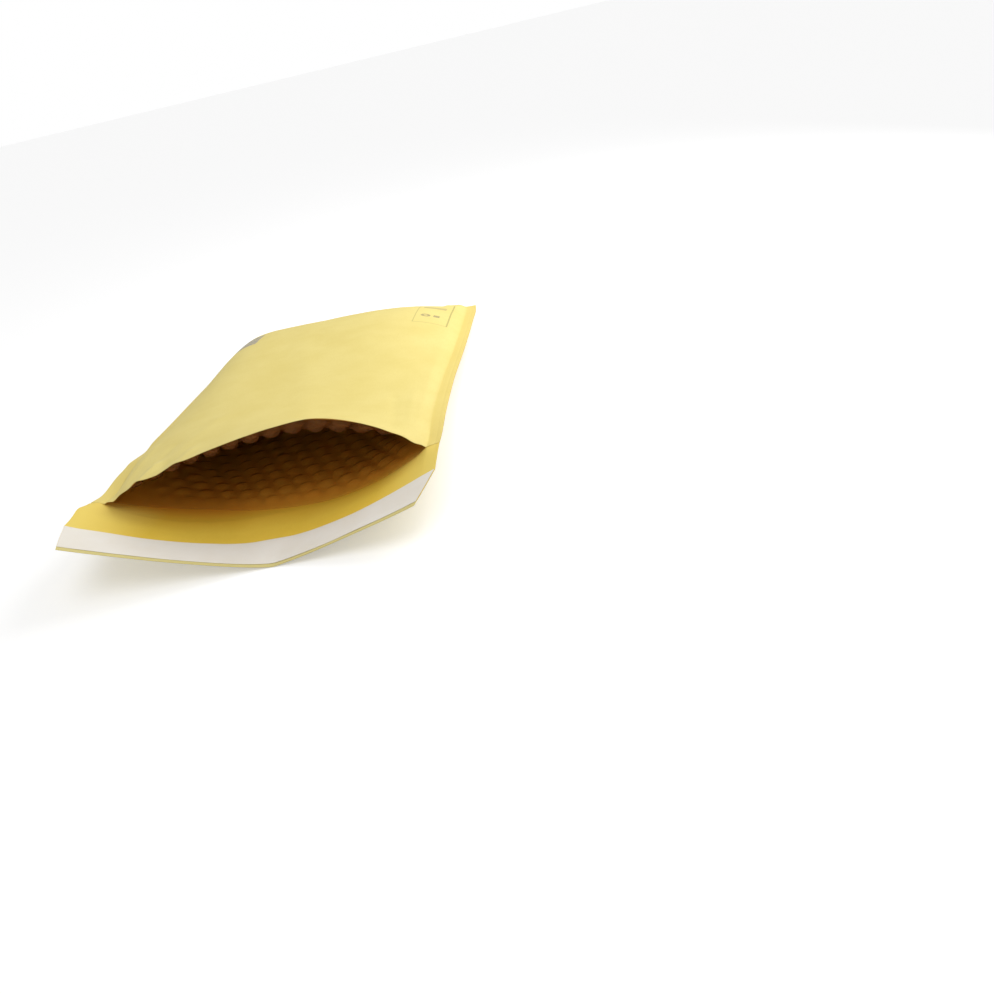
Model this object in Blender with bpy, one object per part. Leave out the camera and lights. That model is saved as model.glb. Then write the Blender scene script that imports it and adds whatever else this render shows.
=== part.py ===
"""Padded kraft mailer lying open on its back: a folded kraft sheet, its bubble film lining, and a
self-seal flap with an adhesive band under a peel-off liner.

Each mesh is drawn from the middle of the mouth line: X runs across, Y from the mouth to the bottom
fold, and the flap lies at negative Y. Across the sheet a place is given by its share of half the
pocket's width, from -1 at the left seam to 1 at the right one.
"""

from functools import lru_cache

import bmesh
import bpy
import numpy as np
from mathutils import Vector

# The kraft sheet, cut and folded
ENVELOPE_WIDTH = 0.200
POCKET_LENGTH = 0.275
SEAM_WIDTH = 0.008
FOLD_WALL = 0.0012
FLAP_LENGTH = 0.053
FLAP_STRAIGHT_SIDE = 0.028
FLAP_CORNER_CUT = 0.0095
PAPER_THICKNESS = 0.0004

# The bubble film, two plies folded at the bottom and crushed flat at the seams
FILM_THICKNESS = 0.0010
CRUSHED_FILM = 0.0020
FILM_SLIT = 0.0002
FILM_EDGE_SEAL = 0.0012
FILM_SETBACK = 0.0005
BUBBLE_RADIUS = 0.0050
BUBBLE_TOP_RADIUS = 0.0034
BUBBLE_HEIGHT = 0.0032
BUBBLE_PITCH = 0.0125
BUBBLE_ROWS = 4
BUBBLE_SIDES = 6
BUBBLE_ROOT = 0.0005

# The self-seal band on the flap
LINER_WIDTH = 0.021
LINER_THICKNESS = 0.0004
LINER_SIDE_INSET = 0.0005
ADHESIVE_WIDTH = 0.015
ADHESIVE_THICKNESS = 0.0004
ADHESIVE_SIDE_INSET = 0.003

# Clearance between touching pieces, measured straight up on the sloping sheets
FIT_GAP = 0.0005

# How the open mailer lies: heights over the floor
SEAM_HEIGHT_AT_MOUTH = 0.0209
SEAM_HEIGHT_AT_FOLD = 0.0027
SEAM_FALL_POWER = 1.1
MOUTH_HEIGHT = 0.0496
BODY_HEIGHT = 0.0309
FOLD_HEIGHT = 0.0095
FLAP_LEFT_HEIGHT = 0.0303
FLAP_RIGHT_HEIGHT = 0.0203

# How the heights change along the mailer
MOUTH_FADE = 0.045
FOLD_DROP_POWER = 8.8
FOLD_LIFT_LENGTH = 0.045
FLAT_FADE = 0.120
POWER_FADE = 0.120

# How the sheets curve across the mailer
MOUTH_CROWN = 0.376
BODY_CROWN = -0.31
MOUTH_ARCH_POWER = 1.7
BODY_ARCH_POWER = 4.4
FLAT_SHARE_AT_MOUTH = 0.2
FLAT_SHARE_AT_BODY = 0.6
LOWER_POWER = 1.9
FLAP_TROUGH = 0.13
FLAP_LEFT_POWER = 1.26
FLAP_RIGHT_POWER = 1.18

# Slopes of the edge bands outside the seams' inner lines, up towards the edge
LEFT_SLOPE_AT_MOUTH = 0.58
RIGHT_SLOPE_AT_MOUTH = 0.33
LEFT_BAND_SLOPE = -0.35
RIGHT_BAND_SLOPE = -0.05
BAND_FADE = 0.030

# How finely the sheets are divided
COLUMNS = 16
SEAM_GRADING = 0.4
BODY_ROWS = 18
FLAP_ROWS = 6
BAND_ROWS = 4
END_GRADING = 0.6

# Sizes that follow from the ones above
HALF_POCKET = ENVELOPE_WIDTH / 2 - SEAM_WIDTH
HALF_WIDTH = ENVELOPE_WIDTH / 2
SEAM_STACK = 2 * PAPER_THICKNESS + CRUSHED_FILM
MOUTH_Y = -(POCKET_LENGTH - FLAP_LENGTH) / 2
FILM_EDGE = HALF_POCKET - FIT_GAP
FILM_SEAL = FILM_EDGE - FILM_EDGE_SEAL
FILM_END = POCKET_LENGTH - FOLD_WALL - FIT_GAP

KRAFT_COLOUR = (0.78, 0.60, 0.24, 1.0)
FILM_COLOUR = (0.62, 0.50, 0.34, 1.0)
ADHESIVE_COLOUR = (0.86, 0.80, 0.62, 1.0)
LINER_COLOUR = (0.88, 0.85, 0.82, 1.0)


def smooth_step(value):
    """Ease from 0 to 1."""
    value = np.clip(value, 0.0, 1.0)
    return value * value * (3.0 - 2.0 * value)


def from_crown(share, crown):
    """Distance from the crown, -1 and 1 at the seams whatever the crown's place."""
    return np.where(share < crown, (share - crown) / (1.0 + crown), (share - crown) / (1.0 - crown))


def mouth_slope(side):
    """Slope of the edge band at the mouth; side is negative on the left."""
    return np.where(side < 0.0, LEFT_SLOPE_AT_MOUTH, RIGHT_SLOPE_AT_MOUTH)


def body_band_slope(side, y):
    """Slope of the edge band along the pocket."""
    far_slope = np.where(side < 0.0, LEFT_BAND_SLOPE, RIGHT_BAND_SLOPE)
    slope = far_slope + (mouth_slope(side) - far_slope) * np.exp(-((y / BAND_FADE) ** 2))
    return slope * (1.0 - y / POCKET_LENGTH)


def seam_height(side, y):
    """Height of a seam's inner line: the edges sink evenly to the fold, and their bands slope."""
    left_to_fold = 1.0 - y / POCKET_LENGTH
    fall = SEAM_HEIGHT_AT_MOUTH - SEAM_HEIGHT_AT_FOLD
    lift = SEAM_WIDTH * (mouth_slope(side) * left_to_fold - body_band_slope(side, y))
    return SEAM_HEIGHT_AT_FOLD + fall * left_to_fold**SEAM_FALL_POWER + lift


def arch(share, y):
    """The upper sheet's curve from seam to seam, 1 at its crown and 0 at the seams."""
    crown = BODY_CROWN + (MOUTH_CROWN - BODY_CROWN) * np.exp(-y / MOUTH_FADE)
    power = BODY_ARCH_POWER + (MOUTH_ARCH_POWER - BODY_ARCH_POWER) * np.exp(-((y / POWER_FADE) ** 2))
    return 1.0 - np.abs(from_crown(share, crown)) ** power


def body_underside(share, y):
    """Underside of the lower sheet: flat on the floor, then up to the seams and to the fold."""
    flat = FLAT_SHARE_AT_MOUTH + (FLAT_SHARE_AT_BODY - FLAT_SHARE_AT_MOUTH) * smooth_step(y / FLAT_FADE)
    rise = np.clip((np.abs(share) - flat) / (1.0 - flat), 0.0, None) ** LOWER_POWER
    fold_line = SEAM_HEIGHT_AT_FOLD + (FOLD_HEIGHT - SEAM_HEIGHT_AT_FOLD) * arch(share, POCKET_LENGTH)
    to_fold = np.clip(1.0 - (POCKET_LENGTH - y) / FOLD_LIFT_LENGTH, 0.0, 1.0) ** 2
    return seam_height(share, y) * rise * (1.0 - to_fold) + fold_line * to_fold


def flap_underside(share, y):
    """Underside of the flap: a trough whose corners stand off the floor."""
    out = np.clip(-y / FLAP_LENGTH, 0.0, 1.0)
    trough = FLAP_TROUGH * out
    side = from_crown(share, trough)
    end_height = np.where(side < 0.0, FLAP_LEFT_HEIGHT, FLAP_RIGHT_HEIGHT)
    end_power = np.where(side < 0.0, FLAP_LEFT_POWER, FLAP_RIGHT_POWER)
    height = SEAM_HEIGHT_AT_MOUTH + (end_height - SEAM_HEIGHT_AT_MOUTH) * out
    power = LOWER_POWER + (end_power - LOWER_POWER) * out
    flat = FLAT_SHARE_AT_MOUTH * (1.0 - out)
    return height * np.clip((np.abs(side) - flat) / (1.0 - flat), 0.0, None) ** power


def underside(share, y):
    """Underside of the lower sheet and the flap between the seams' inner lines."""
    return body_underside(share, y) if y >= 0.0 else flap_underside(share, y)


def top_side(share, y):
    """Top of the upper sheet between the seams' inner lines."""
    base = seam_height(share, y) + SEAM_STACK
    crown = BODY_HEIGHT + (MOUTH_HEIGHT - BODY_HEIGHT) * np.exp(-y / MOUTH_FADE)
    fold_top = FOLD_HEIGHT + SEAM_STACK
    crown = crown - (BODY_HEIGHT - fold_top) * (y / POCKET_LENGTH) ** FOLD_DROP_POWER
    return base + (crown - base) * arch(share, y)


@lru_cache(maxsize=None)
def half_chord(y):
    """Half the straight distance between the seams, from the lower sheet's own width."""
    share = np.linspace(-1.0, 1.0, 81)
    rises = np.diff(underside(share, y))
    shortest, longest = 0.0, HALF_POCKET
    for _ in range(40):
        middle = (shortest + longest) / 2
        length = np.hypot(middle * np.diff(share), rises).sum()
        if length < 2 * HALF_POCKET:
            shortest = middle
        else:
            longest = middle
    return middle


def band_slope(side, y):
    """Slope of the edge band outside the seam's inner line; side is -1 on the left, 1 on the right."""
    if y >= 0.0:
        return float(body_band_slope(side, y))
    probe = 0.02
    inner = underside(np.array([side * (1.0 - probe), side]), y)
    sheet_slope = (inner[1] - inner[0]) / (probe * half_chord(y))
    out = -y / FLAP_LENGTH
    at_mouth = float(mouth_slope(side))
    return at_mouth + (sheet_slope - at_mouth) * out


def sheet_edge(y):
    """Distance of the sheet's cut edge from the middle, measured on the flat sheet."""
    cut_length = FLAP_LENGTH - FLAP_STRAIGHT_SIDE
    into_cut = max(0.0, (-y - FLAP_STRAIGHT_SIDE) / cut_length)
    return HALF_WIDTH - FLAP_CORNER_CUT * into_cut


def slit_places():
    """Columns of the film's inner faces, as flat distances from the middle, closer at the seams."""
    turn = np.linspace(-1.0, 1.0, COLUMNS + 1)
    graded = HALF_POCKET * (turn + SEAM_GRADING * np.sin(np.pi * turn) / np.pi)
    return [-FILM_SEAL] + [p for p in graded if abs(p) < FILM_SEAL - FILM_EDGE_SEAL] + [FILM_SEAL]


def film_places():
    """Columns of the film's outer faces."""
    return [-FILM_EDGE] + slit_places() + [FILM_EDGE]


def sheet_places():
    """Columns of the kraft sheet between the seams' inner lines, in line with the film's."""
    return [-HALF_POCKET] + film_places() + [HALF_POCKET]


def slit_rows():
    """Stations of the film's inner faces, closer together at the mouth and at the fold."""
    turn = np.linspace(0.0, 1.0, BODY_ROWS + 1)
    graded = FILM_END * (turn - END_GRADING * np.sin(2 * np.pi * turn) / (2 * np.pi))
    last = FILM_END - FILM_EDGE_SEAL
    return [FILM_SETBACK] + [y for y in graded if FILM_EDGE_SEAL < y < last - FILM_EDGE_SEAL] + [last]


def film_rows():
    """Stations of the film's outer faces."""
    return slit_rows() + [FILM_END]


def sheet_body_rows():
    """Stations of the kraft sheet from the mouth to the closed end of its pocket."""
    return [0.0] + film_rows() + [POCKET_LENGTH - FOLD_WALL]


def lower_point(place, y, lift):
    """A point lift above the underside; place is its flat distance from the middle."""
    side = float(np.sign(place))
    inside = min(abs(place), HALF_POCKET) * side
    share = inside / HALF_POCKET
    beyond = abs(place) - abs(inside)
    slope = band_slope(side, y) if beyond > 0.0 else 0.0
    reach = beyond / np.hypot(1.0, slope)
    x = share * half_chord(y) + side * reach
    z = float(underside(share, y)) + slope * reach + lift
    return Vector((x, y, z))


def upper_point(place, y, drop):
    """A point drop below the upper sheet's top, between the seams' inner lines."""
    share = place / HALF_POCKET
    return Vector((share * half_chord(y), y, float(top_side(share, y)) - drop))


def grid_of(bm, rows, places, point):
    """Vertices at each row and column, as a list of rows."""
    return [[bm.verts.new(point(place, y)) for place in places] for y in rows]


def skin(bm, grid):
    """Two triangles in each cell of a grid."""
    for near, far in zip(grid, grid[1:]):
        for i in range(len(near) - 1):
            bm.faces.new((near[i], near[i + 1], far[i + 1]))
            bm.faces.new((near[i], far[i + 1], far[i]))


def column(grid, index):
    """One column of a grid."""
    return [row[index] for row in grid]


def new_object(name, bm, colour, roughness):
    """An object at the mouth line with its own material, its faces turned outwards."""
    bmesh.ops.recalc_face_normals(bm, faces=bm.faces)
    if bm.calc_volume(signed=True) < 0.0:
        bmesh.ops.reverse_faces(bm, faces=bm.faces)
    mesh = bpy.data.meshes.new(name)
    bm.to_mesh(mesh)
    bm.free()
    material = bpy.data.materials.new(name)
    material.use_nodes = True
    shader = material.node_tree.nodes["Principled BSDF"]
    shader.inputs["Base Color"].default_value = colour
    shader.inputs["Roughness"].default_value = roughness
    mesh.materials.append(material)
    thing = bpy.data.objects.new(name, mesh)
    thing.location = (0.0, MOUTH_Y, 0.0)
    bpy.context.scene.collection.objects.link(thing)
    return thing


def flap_rows():
    """Stations from the flap's front edge to just before the mouth, one where the corner cut starts."""
    cut_rows = np.linspace(-FLAP_LENGTH, -FLAP_STRAIGHT_SIDE, FLAP_ROWS // 2, endpoint=False)
    straight_rows = np.linspace(-FLAP_STRAIGHT_SIDE, 0.0, FLAP_ROWS // 2, endpoint=False)
    return list(cut_rows) + list(straight_rows)


def sheet_rows(bm, rows, lift, side_inset):
    """Vertices from cut edge to cut edge of the lower sheet or the flap."""
    grid = []
    for y in rows:
        edge = sheet_edge(y) - side_inset
        places = [-edge] + sheet_places() + [edge]
        grid.append([bm.verts.new(lower_point(place, y, lift)) for place in places])
    return grid


def kraft_envelope():
    """The folded sheet: lower sheet with its flap, bottom fold, upper sheet, and two side seams."""
    bm = bmesh.new()
    body = sheet_body_rows()
    closed = body + [POCKET_LENGTH]
    flap = flap_rows()
    inner = sheet_places()
    under = sheet_rows(bm, flap + closed, 0.0, 0.0)
    flap_top = sheet_rows(bm, flap, PAPER_THICKNESS, 0.0)
    floor = grid_of(bm, body, inner, lambda p, y: lower_point(p, y, PAPER_THICKNESS))
    ceiling = grid_of(bm, body, inner, lambda p, y: upper_point(p, y, PAPER_THICKNESS))
    top = []
    for y in closed:
        left = bm.verts.new(lower_point(-HALF_WIDTH, y, 2 * PAPER_THICKNESS))
        right = bm.verts.new(lower_point(HALF_WIDTH, y, 2 * PAPER_THICKNESS))
        top.append([left] + [bm.verts.new(upper_point(p, y, 0.0)) for p in inner] + [right])
    left_step = bm.verts.new(lower_point(-HALF_WIDTH, 0.0, PAPER_THICKNESS))
    right_step = bm.verts.new(lower_point(HALF_WIDTH, 0.0, PAPER_THICKNESS))
    mouth_line = [left_step] + floor[0] + [right_step]

    for surface in (under, flap_top + [mouth_line], floor, ceiling, top):
        skin(bm, surface)
    # Cut edges: front of the flap, its sides, the lip, the side seams and the bottom fold
    skin(bm, [under[0], flap_top[0]])
    skin(bm, [top[0][1:-1], ceiling[0]])
    skin(bm, [under[-1], top[-1]])
    mouth = len(flap)
    for end in (0, -1):
        lower_edge = column(under, end)
        upper_edge = column(top, end)
        skin(bm, [lower_edge[: mouth + 1], column(flap_top, end) + [mouth_line[end]]])
        mouth_corner = (*lower_edge[mouth:mouth + 2], upper_edge[1], upper_edge[0], mouth_line[end])
        bm.faces.new(mouth_corner)
        skin(bm, [lower_edge[mouth + 1:], upper_edge[1:]])
    # Closed end of the pocket and its two sides
    skin(bm, [floor[-1], ceiling[-1]])
    for end in (0, -1):
        skin(bm, [column(floor, end), column(ceiling, end)])
    # Seam bands seen from the mouth
    bm.faces.new((top[0][0], top[0][1], ceiling[0][0], floor[0][0], left_step))
    bm.faces.new((top[0][-1], top[0][-2], ceiling[0][-1], floor[0][-1], right_step))
    return new_object("kraft_envelope", bm, KRAFT_COLOUR, 0.75)


def ply_thickness(place, y):
    """Thickness of one ply of film, crushed where the sheets close on each other."""
    share = place / HALF_POCKET
    room = float(top_side(share, y) - underside(share, y)) - 2 * PAPER_THICKNESS
    return min(FILM_THICKNESS, (room - 2 * FIT_GAP - FILM_SLIT) / 2)


def lining_floor_point(place, y):
    """A point on the inner face of the lower ply."""
    return lower_point(place, y, PAPER_THICKNESS + FIT_GAP + ply_thickness(place, y))


def lining_ceiling_point(place, y):
    """A point on the inner face of the upper ply."""
    return upper_point(place, y, PAPER_THICKNESS + FIT_GAP + ply_thickness(place, y))


def film_pocket():
    """The folded film without its bubbles: two plies sealed at the sides, closed at the fold."""
    bm = bmesh.new()
    offset = PAPER_THICKNESS + FIT_GAP

    under = grid_of(bm, film_rows(), film_places(), lambda p, y: lower_point(p, y, offset))
    top = grid_of(bm, film_rows(), film_places(), lambda p, y: upper_point(p, y, offset))
    floor = grid_of(bm, slit_rows(), slit_places(), lining_floor_point)
    ceiling = grid_of(bm, slit_rows(), slit_places(), lining_ceiling_point)
    for surface in (under, top, floor, ceiling):
        skin(bm, surface)
    # Front edges of the two plies, closed sides and closed end
    skin(bm, [under[0][1:-1], floor[0]])
    skin(bm, [top[0][1:-1], ceiling[0]])
    skin(bm, [under[-1], top[-1]])
    skin(bm, [floor[-1], ceiling[-1]])
    for side in (0, -1):
        skin(bm, [column(under, side), column(top, side)])
        skin(bm, [column(floor, side), column(ceiling, side)])
    bm.faces.new((under[0][0], under[0][1], floor[0][0], ceiling[0][0], top[0][1], top[0][0]))
    bm.faces.new((under[0][-1], under[0][-2], floor[0][-1], ceiling[0][-1], top[0][-2], top[0][-1]))
    return new_object("bubble_lining", bm, FILM_COLOUR, 0.35)


def bubble_frame(point, place, y, up):
    """Root point, normal and two tangents of a bubble on one ply."""
    probe = FILM_THICKNESS
    here = point(place, y)
    across = (point(place + probe, y) - point(place - probe, y)).normalized()
    along = point(place, y + probe) - point(place, y - probe)
    normal = across.cross(along).normalized() * up
    return here, normal, across, normal.cross(across)


def add_bubble(bm, point, place, y, up):
    """One bubble: a short tapered drum with its root inside the film."""
    here, normal, across, along = bubble_frame(point, place, y, up)
    rings = []
    for radius, height in ((BUBBLE_RADIUS, -BUBBLE_ROOT), (BUBBLE_TOP_RADIUS, BUBBLE_HEIGHT)):
        angles = np.arange(BUBBLE_SIDES) * 2 * np.pi / BUBBLE_SIDES
        ring = [here + normal * height + (across * np.cos(a) + along * np.sin(a)) * radius for a in angles]
        rings.append([bm.verts.new(corner) for corner in ring])
    bm.faces.new(rings[0])
    bm.faces.new(rings[1])
    for i in range(BUBBLE_SIDES):
        j = (i + 1) % BUBBLE_SIDES
        bm.faces.new((rings[0][i], rings[0][j], rings[1][j], rings[1][i]))


def bubble_places():
    """Places of the bubbles behind the mouth, in staggered rows, where both plies leave them room."""
    row_pitch = BUBBLE_PITCH * np.sqrt(3.0) / 2
    needed = 2 * (PAPER_THICKNESS + FIT_GAP + FILM_THICKNESS + BUBBLE_HEIGHT) + BUBBLE_ROOT
    places = []
    for row in range(BUBBLE_ROWS):
        y = FILM_SETBACK + BUBBLE_RADIUS + BUBBLE_ROOT + row * row_pitch
        shift = BUBBLE_PITCH / 2 if row % 2 else 0.0
        count = int(HALF_POCKET / BUBBLE_PITCH)
        for i in range(-count, count + 1):
            place = i * BUBBLE_PITCH + shift
            outer = (abs(place) + BUBBLE_RADIUS) / HALF_POCKET * np.sign(place)
            if abs(outer) < 1.0 and top_side(outer, y) - underside(outer, y) > needed:
                places.append((place, y))
    return places


def bubble_lining():
    """The film pocket with the rows of bubbles that show in the mouth."""
    lining = film_pocket()
    bm = bmesh.new()
    for place, y in bubble_places():
        add_bubble(bm, lining_floor_point, place, y, 1.0)
        add_bubble(bm, lining_ceiling_point, place, y, -1.0)
    bubbles = new_object("bubbles_guide", bm, FILM_COLOUR, 0.35)
    bubbles.hide_render = True
    bubbles.display_type = "WIRE"
    union = lining.modifiers.new("bubbles", "BOOLEAN")
    union.operation = "UNION"
    union.solver = "EXACT"
    union.object = bubbles
    return lining


def flap_band(name, size, lift, side_inset, colour, roughness):
    """A flat strip of the given width and thickness that follows the flap, lift above its top."""
    bm = bmesh.new()
    width, thickness = size
    middle = -(FLAP_STRAIGHT_SIDE + LINER_WIDTH / 2)
    rows = np.linspace(middle - width / 2, middle + width / 2, BAND_ROWS)
    bottom = sheet_rows(bm, rows, PAPER_THICKNESS + lift, side_inset)
    top = sheet_rows(bm, rows, PAPER_THICKNESS + lift + thickness, side_inset)
    skin(bm, bottom)
    skin(bm, top)
    for end in (0, -1):
        skin(bm, [bottom[end], top[end]])
        skin(bm, [column(bottom, end), column(top, end)])
    return new_object(name, bm, colour, roughness)


def adhesive_strip():
    """The band of adhesive on the flap, under the liner."""
    size = (ADHESIVE_WIDTH, ADHESIVE_THICKNESS)
    return flap_band("adhesive_strip", size, FIT_GAP, ADHESIVE_SIDE_INSET, ADHESIVE_COLOUR, 0.5)


def release_liner():
    """The peel-off liner that covers the adhesive across the whole flap."""
    size = (LINER_WIDTH, LINER_THICKNESS)
    lift = FIT_GAP + ADHESIVE_THICKNESS + FIT_GAP
    return flap_band("release_liner", size, lift, LINER_SIDE_INSET, LINER_COLOUR, 0.45)


for old in list(bpy.data.objects):
    bpy.data.objects.remove(old)
kraft_envelope()
bubble_lining()
adhesive_strip()
release_liner()
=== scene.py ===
import math

import bmesh
import bpy
import numpy as np
from mathutils import Matrix, Vector, noise


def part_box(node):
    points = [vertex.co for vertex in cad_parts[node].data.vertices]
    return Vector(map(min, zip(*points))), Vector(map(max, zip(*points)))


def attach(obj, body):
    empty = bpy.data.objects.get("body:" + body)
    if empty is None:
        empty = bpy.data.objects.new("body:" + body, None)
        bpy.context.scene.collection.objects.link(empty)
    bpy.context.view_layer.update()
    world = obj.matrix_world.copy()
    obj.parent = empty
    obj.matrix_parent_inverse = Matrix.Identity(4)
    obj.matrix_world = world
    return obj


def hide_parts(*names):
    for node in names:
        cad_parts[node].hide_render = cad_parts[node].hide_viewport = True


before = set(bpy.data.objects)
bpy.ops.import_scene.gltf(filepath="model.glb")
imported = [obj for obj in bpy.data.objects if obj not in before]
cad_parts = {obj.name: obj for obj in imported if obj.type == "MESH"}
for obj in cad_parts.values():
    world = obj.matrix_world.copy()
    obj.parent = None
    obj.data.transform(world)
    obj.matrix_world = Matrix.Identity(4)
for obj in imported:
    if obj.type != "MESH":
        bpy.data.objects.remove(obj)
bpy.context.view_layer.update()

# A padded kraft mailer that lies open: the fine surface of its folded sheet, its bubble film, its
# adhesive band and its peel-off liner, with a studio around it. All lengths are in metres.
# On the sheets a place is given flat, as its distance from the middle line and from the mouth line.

# The sheet as the solids have it
ENVELOPE_WIDTH = 0.200
POCKET_LENGTH = 0.275
SEAM_WIDTH = 0.008
FLAP_LENGTH = 0.053
FLAP_STRAIGHT_SIDE = 0.028
FLAP_CORNER_CUT = 0.0095
SOLID_SEAM_STACK = 0.0028
SEAM_HEIGHT_AT_MOUTH = 0.0209
SEAM_HEIGHT_AT_FOLD = 0.0027
SEAM_FALL_POWER = 1.1
MOUTH_HEIGHT = 0.0496
BODY_HEIGHT = 0.0309
FOLD_HEIGHT = 0.0095
FLAP_LEFT_HEIGHT = 0.0303
FLAP_RIGHT_HEIGHT = 0.0203
MOUTH_FADE = 0.045
FOLD_DROP_POWER = 8.8
FOLD_LIFT_LENGTH = 0.045
FLAT_FADE = 0.120
MOUTH_CROWN = 0.376
BODY_CROWN = -0.31
MOUTH_ARCH_POWER = 1.7
BODY_ARCH_POWER = 4.4
FLAT_SHARE_AT_MOUTH = 0.2
FLAT_SHARE_AT_BODY = 0.6
LOWER_POWER = 1.9
FLAP_TROUGH = 0.13
FLAP_LEFT_POWER = 1.26
FLAP_RIGHT_POWER = 1.18
LEFT_SLOPE_AT_MOUTH = 0.58
RIGHT_SLOPE_AT_MOUTH = 0.33
LEFT_BAND_SLOPE = -0.35
RIGHT_BAND_SLOPE = -0.05
BAND_FADE = 0.030
POWER_FADE = 0.120

# The real thin layers
PAPER = 0.00022
SEAM_STACK = 0.00056
SEAM_EASE = 0.006
FOLD_STACK = 0.0018
FOLD_EASE = 0.010
GROOVE_FROM_EDGE = 0.0030
GROOVE_WIDTH = 0.0005
GROOVE_DEPTH = 0.00008
LEFT_SPLIT = 0.0022
RIGHT_SPLIT = 0.0010
SPLIT_LENGTH = 0.012
SHUT_STACK = 0.00047
SHUT_WIDTH = 0.003
SHUT_LENGTH = 0.012
EAR_PULL = 0.0045
EAR_STEP = 0.815
EAR_STEP_WIDTH = 0.05
EAR_REACH = 0.040

# The bubble film; the rings of a bubble are given as radius and height
FILM = 0.00010
FILM_CLEARANCE = 0.00015
FILM_SIDE_GAP = 0.0006
BUBBLE_PITCH = 0.0125
BUBBLE_PROFILE = ((0.0051, 0.0), (0.0044, 0.0007), (0.0033, 0.0013), (0.0018, 0.0017))
BUBBLE_HEIGHT = 0.0018
BUBBLE_SIDES = 12
UPPER_BUBBLES = 1.6
KEYS_PER_METRE = 1e5
JOIN_WITHIN = 0.00004

# The sag of the upper film behind the lip
FILM_SAG = 0.0055
SAG_FROM = 0.004
SAG_DEEPEST = 0.022
SAG_END = 0.080

# How far the film's front edge lies behind the mouth line, and where its lower ply is drawn back
FILM_SETBACK = 0.0015
FILM_RIGHT_SETBACK = 0.0004
FILM_DRAWN_BACK = 0.0102
FILM_DRAWN_AT = -0.045
FILM_DRAWN_LEFT = 0.047
FILM_DRAWN_RIGHT = 0.035
FILM_DRAWN_DEPTH = 0.060

# The film's turn at the bottom
FILM_FOLD_SETBACK = 0.012
TURN_HALF = 0.003
TURN_CUTS = (-1.0, -0.5, 0.0, 0.5, 1.0)
TURN_ROUNDING = 0.35
TURN_BULGE = 0.8
LEAST_TURN = 0.0001

# How the bubbles grow from the film's edges, and are squeezed where the pocket is thin
FILM_SEALED_EDGE = 0.018
UPPER_SEALED_EDGE = 0.006
FILM_SIDE_EASE = 0.026
FILM_FOLD_EASE = 0.012
ROOM_LEFT = 0.0006
ROOM_PER_BUBBLE = 2.3
LEAST_BUBBLE = 0.02
SLOPE_STEP = 0.0005
LEAST_RUN = 1e-6

# The self-seal band on the flap
LINER_WIDTH = 0.0221
LINER_SIDE_INSET = 0.0004
LINER_THICKNESS = 0.00010
ADHESIVE_WIDTH = 0.015
ADHESIVE_THICKNESS = 0.00006
ADHESIVE_SIDE_INSET = 0.003
BAND_GAP = 0.00003
STRIP_EDGE = 0.0025

# Divisions
MIDDLE_STEP = 0.0017
UPPER_STEP = 0.0017
LOWER_STEP = 0.0028
FLAP_STEP = 0.0016
FOLD_TURNS = 6
STRIP_ROWS = 23
CHORD_STATIONS = 653
CHORD_PLACES = 81
CHORD_HALVINGS = 30

# Distances of the closest columns from the sheet's cut edge
BAND_PLACES = (0.0, 0.0012, 0.0020, 0.0025, 0.0028, 0.0031, 0.0034, 0.0040, 0.0050, 0.0062, 0.0072)

# Smooth random waves in the paper, as height, size and seed, and their easing at the seams
BROAD_WAVES = (0.00035, 0.038, 3.1)
FINE_WAVES = (0.00010, 0.011, 7.7)
FLAP_WAVES = (0.0003, 0.030, 11.0)
LINER_WAVES = (0.00012, 0.018, 5.0)
ADHESIVE_WAVES = (0.0, 0.018, 5.0)
RELIEF_EASE = 0.012
LIP_EASE = 0.005

# The camera, from the photograph's perspective
CAMERA_AZIMUTH = math.radians(8.01)
CAMERA_ELEVATION = math.radians(30.09)
CAMERA_ROLL = math.radians(-13.86)
FRAME_PIXELS = 994
FOCAL_PIXELS = 850.0
SENSOR_MM = 36.0
MOUTH_PIXEL = (276.34, 512.67)
MOUTH_DEPTH = 0.45394
CLIP_START = 0.01

# The studio
SUN_TOWARDS = (0.05, -0.20, 1.0)
SUN_STRENGTH = 0.88
SUN_SOFTNESS = 50.0
LAMP_PLACE = (0.42, 0.20, 0.34)
LAMP_SIZE = 0.44
LAMP_POWER = 1.92
FLOOR_REACH = 6.0
FLOOR_SEEN_GLOW = 0.36
WORLD_LIGHT = 0.46
WORLD_SEEN = 1.0

# Measures that follow from these; one unit of the UV maps is FLAT_UNIT metres of flat sheet
FLAT_UNIT = 0.625
HALF_WIDTH = ENVELOPE_WIDTH / 2
HALF_POCKET = HALF_WIDTH - SEAM_WIDTH
MOUTH_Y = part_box("kraft_envelope")[0].y + FLAP_LENGTH
FOLD_START = POCKET_LENGTH - FOLD_STACK / 2
FOLD_HALF_ROUND = FOLD_STACK / 2 * math.pi
FILM_REACH = POCKET_LENGTH - FILM_FOLD_SETBACK
FILM_RIGHT_FROM = HALF_POCKET / 3
FILM_RIGHT_EASE = HALF_POCKET / 2


# Shape of the sheets
def smooth_step(value):
    value = np.clip(value, 0.0, 1.0)
    return value * value * (3.0 - 2.0 * value)


def from_crown(share, crown):
    """Distance from the crown, -1 and 1 at the seams whatever the crown's place."""
    return np.where(share < crown, (share - crown) / (1.0 + crown), (share - crown) / (1.0 - crown))


def mouth_slope(side):
    return np.where(side < 0.0, LEFT_SLOPE_AT_MOUTH, RIGHT_SLOPE_AT_MOUTH)


def body_band_slope(side, y):
    """Slope of the edge band along the pocket."""
    along = np.clip(y, 0.0, None)
    far_slope = np.where(side < 0.0, LEFT_BAND_SLOPE, RIGHT_BAND_SLOPE)
    slope = far_slope + (mouth_slope(side) - far_slope) * np.exp(-((along / BAND_FADE) ** 2))
    return slope * (1.0 - along / POCKET_LENGTH)


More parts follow.
